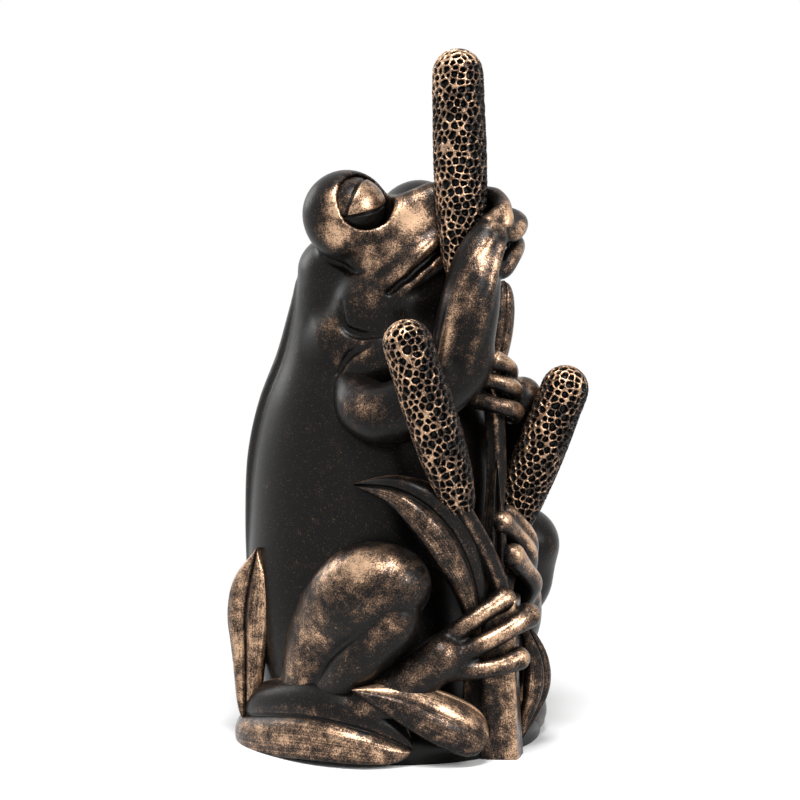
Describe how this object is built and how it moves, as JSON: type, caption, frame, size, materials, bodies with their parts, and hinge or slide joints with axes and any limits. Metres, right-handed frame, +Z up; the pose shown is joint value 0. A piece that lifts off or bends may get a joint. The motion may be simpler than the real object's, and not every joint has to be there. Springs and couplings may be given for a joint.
{
  "type": "frog figurine",
  "caption": "Free-standing bronze-finish figurine of a tree frog that sits upright and hugs a clump of bulrushes, with leaves wrapped round a flat base.",
  "frame": {"origin": "centre of the flat underside of the base mound", "axes": "+Z up, +X the way the frog faces, +Y to the frog's left"},
  "size_m": [0.0818, 0.0738, 0.15],
  "materials": {
    "frog_bronze": "near-black brown bronze patina, rubbed back to copper gold on the raised flesh, satin",
    "eye_bronze": "dark bronze patina with a gold rubbed upper half, satin gloss",
    "reed_head_bronze": "black pits between copper gold rubbed ridges, satin",
    "reed_bronze": "dark bronze patina with copper gold rubbed edges, satin",
    "leaf_bronze": "dark bronze patina with bright copper gold rubbed edges and midribs, satin",
    "base_bronze": "near-black bronze patina, satin"
  },
  "bodies": {
    "root": {"torso": "frog_bronze", "head": "frog_bronze", "right_arm": "frog_bronze", "left_arm": "frog_bronze", "right_leg": "frog_bronze", "left_leg": "frog_bronze", "right_foot": "frog_bronze", "left_foot": "frog_bronze", "right_eye": "eye_bronze", "left_eye": "eye_bronze", "tall_reed_head": "reed_head_bronze", "right_reed_head": "reed_head_bronze", "left_reed_head": "reed_head_bronze", "tall_reed_stem": "reed_bronze", "right_reed_stem": "reed_bronze", "left_reed_stem": "reed_bronze", "reed_sheath": "reed_bronze", "right_hip_leaf": "leaf_bronze", "left_hip_leaf": "leaf_bronze", "right_back_leaf": "leaf_bronze", "left_back_leaf": "leaf_bronze", "rear_leaf": "leaf_bronze", "right_front_leaf": "leaf_bronze", "left_front_leaf": "leaf_bronze", "curled_leaf": "leaf_bronze", "left_side_leaf": "leaf_bronze", "held_leaf": "leaf_bronze", "base_mound": "base_bronze"}
  },
  "joints": []
}
